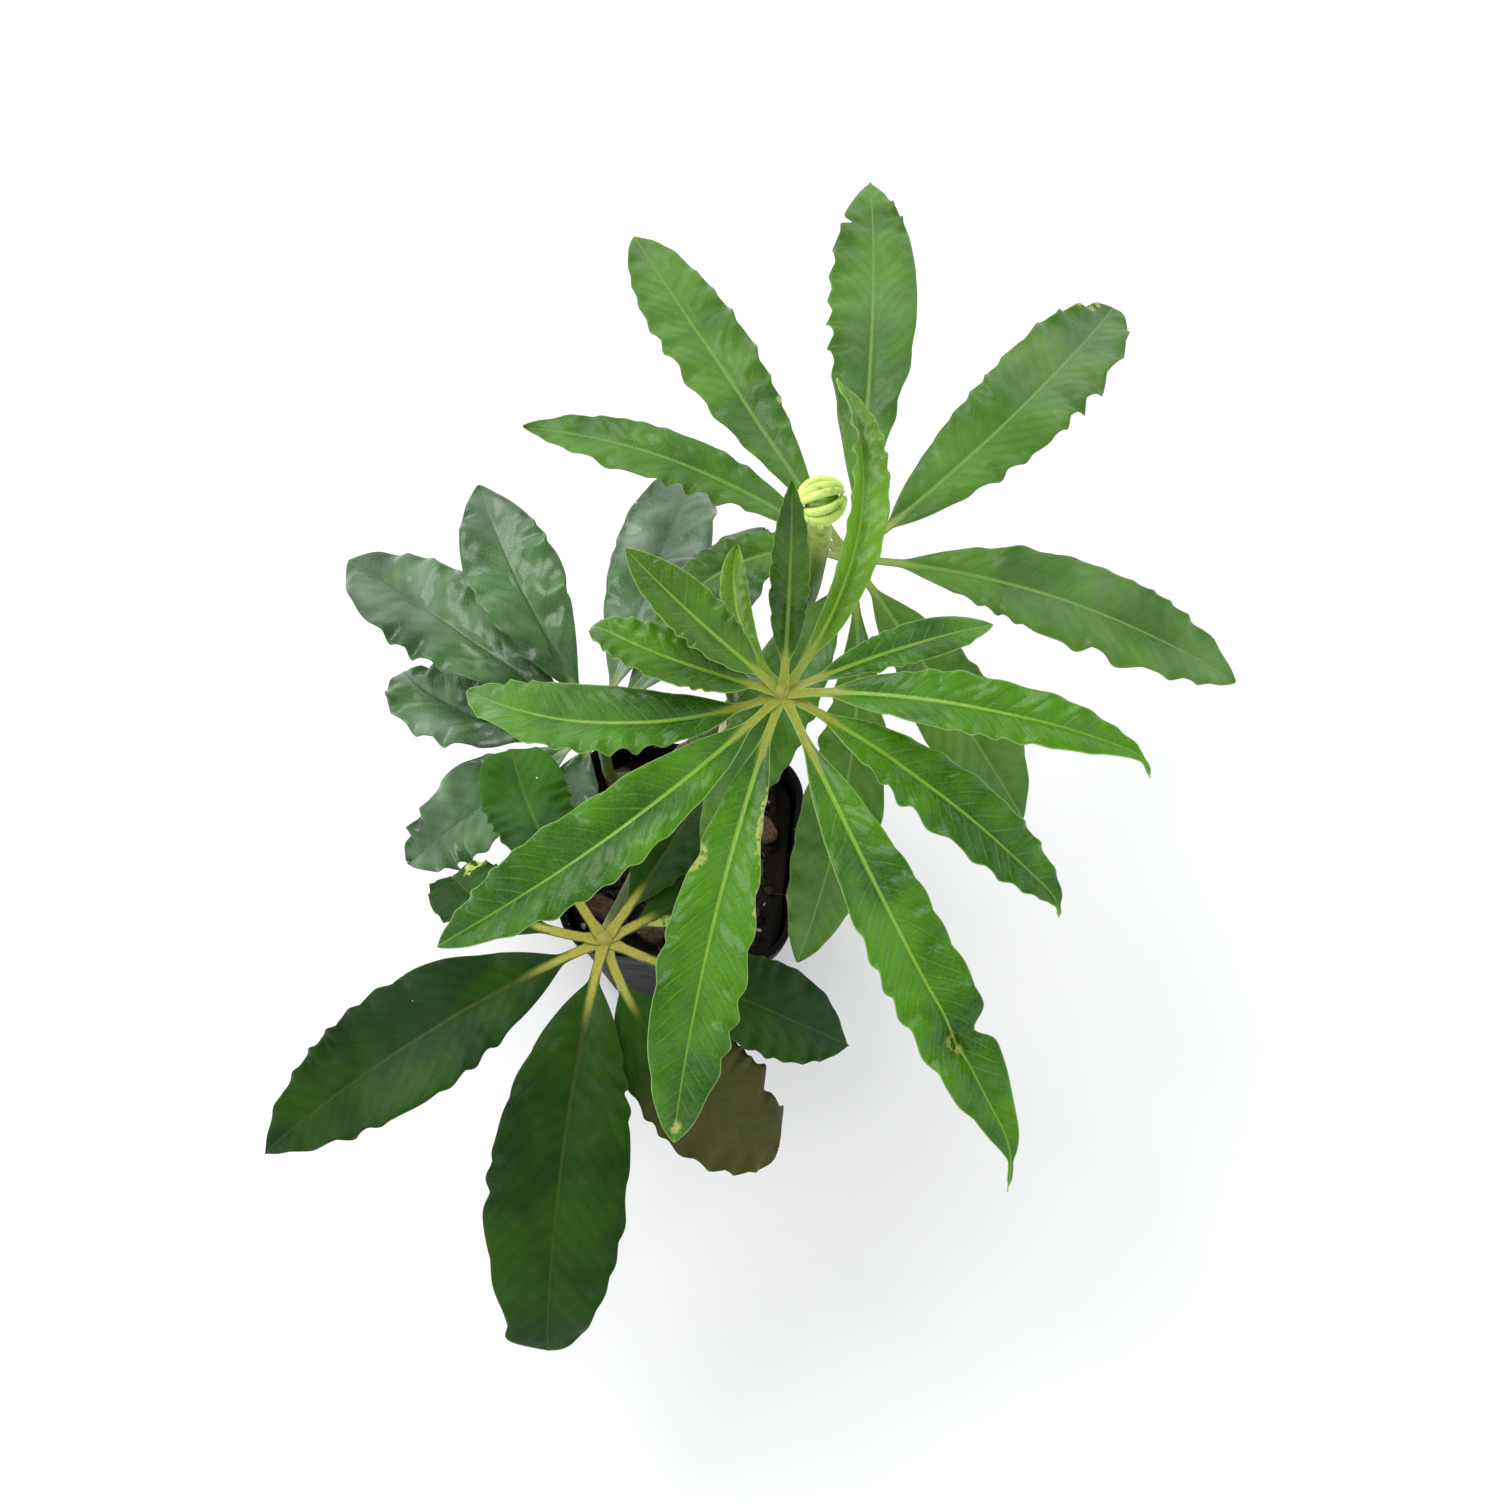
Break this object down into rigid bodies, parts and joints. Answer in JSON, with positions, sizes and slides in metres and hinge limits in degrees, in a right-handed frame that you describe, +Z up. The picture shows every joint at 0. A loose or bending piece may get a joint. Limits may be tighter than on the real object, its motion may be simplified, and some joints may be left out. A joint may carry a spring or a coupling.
{
  "type": "potted anthurium",
  "caption": "A young anthurium with fingered leaves on long stalks, one leaf still furled, rooted in bark mix in a small square nursery pot; it stands on the pot's flat foot.",
  "frame": {"origin": "middle of the pot's foot, on the surface that it stands on", "axes": "+Z up; X and Y along the sides of the pot; the lower leaf reaches out towards -Y"},
  "size_m": [0.3196, 0.414, 0.2896],
  "materials": {
    "pot": "satin",
    "potting_mix": "matte",
    "bark": "matte",
    "stem": "matte",
    "sheath": "matte",
    "shoot": "satin",
    "petiole": "satin",
    "leaf_a": "satin",
    "leaf_b": "satin",
    "leaf_c": "satin",
    "leaf_d": "satin",
    "new_leaf": "satin"
  },
  "bodies": {
    "root": {"pot": "pot", "potting_mix": "potting_mix", "bark_chunk_1": "bark", "bark_chunk_2": "bark", "bark_chunk_3": "bark", "bark_chunk_4": "bark", "bark_chunk_5": "bark", "stem": "stem", "cataphyll_1": "sheath", "cataphyll_2": "shoot", "petiole_a": "petiole", "petiole_b": "petiole", "petiole_c": "petiole", "petiole_d": "petiole", "petiole_e": "petiole", "leaf_a_leaflet_01": "leaf_a", "leaf_a_leaflet_02": "leaf_a", "leaf_a_leaflet_03": "leaf_a", "leaf_a_leaflet_04": "leaf_a", "leaf_a_leaflet_05": "leaf_a", "leaf_a_leaflet_06": "leaf_a", "leaf_a_leaflet_07": "leaf_a", "leaf_a_leaflet_08": "leaf_a", "leaf_a_leaflet_09": "leaf_a", "leaf_a_leaflet_10": "leaf_a", "leaf_a_leaflet_11": "leaf_a", "leaf_a_leaflet_12": "leaf_a", "leaf_b_leaflet_01": "leaf_b", "leaf_b_leaflet_02": "leaf_b", "leaf_b_leaflet_03": "leaf_b", "leaf_b_leaflet_04": "leaf_b", "leaf_b_leaflet_05": "leaf_b", "leaf_b_leaflet_06": "leaf_b", "leaf_b_leaflet_07": "leaf_b", "leaf_b_leaflet_08": "leaf_b", "leaf_b_leaflet_09": "leaf_b", "leaf_c_leaflet_01": "leaf_c", "leaf_c_leaflet_02": "leaf_c", "leaf_c_leaflet_03": "leaf_c", "leaf_c_leaflet_04": "leaf_c", "leaf_c_leaflet_05": "leaf_c", "leaf_c_leaflet_06": "leaf_c", "leaf_c_leaflet_07": "leaf_c", "leaf_c_leaflet_08": "leaf_c", "leaf_d_leaflet_01": "leaf_d", "leaf_d_leaflet_02": "leaf_d", "leaf_d_leaflet_03": "leaf_d", "leaf_d_leaflet_04": "leaf_d", "leaf_d_leaflet_05": "leaf_d", "leaf_d_leaflet_06": "leaf_d", "leaf_d_leaflet_07": "leaf_d", "new_leaf": "new_leaf"}
  },
  "joints": []
}
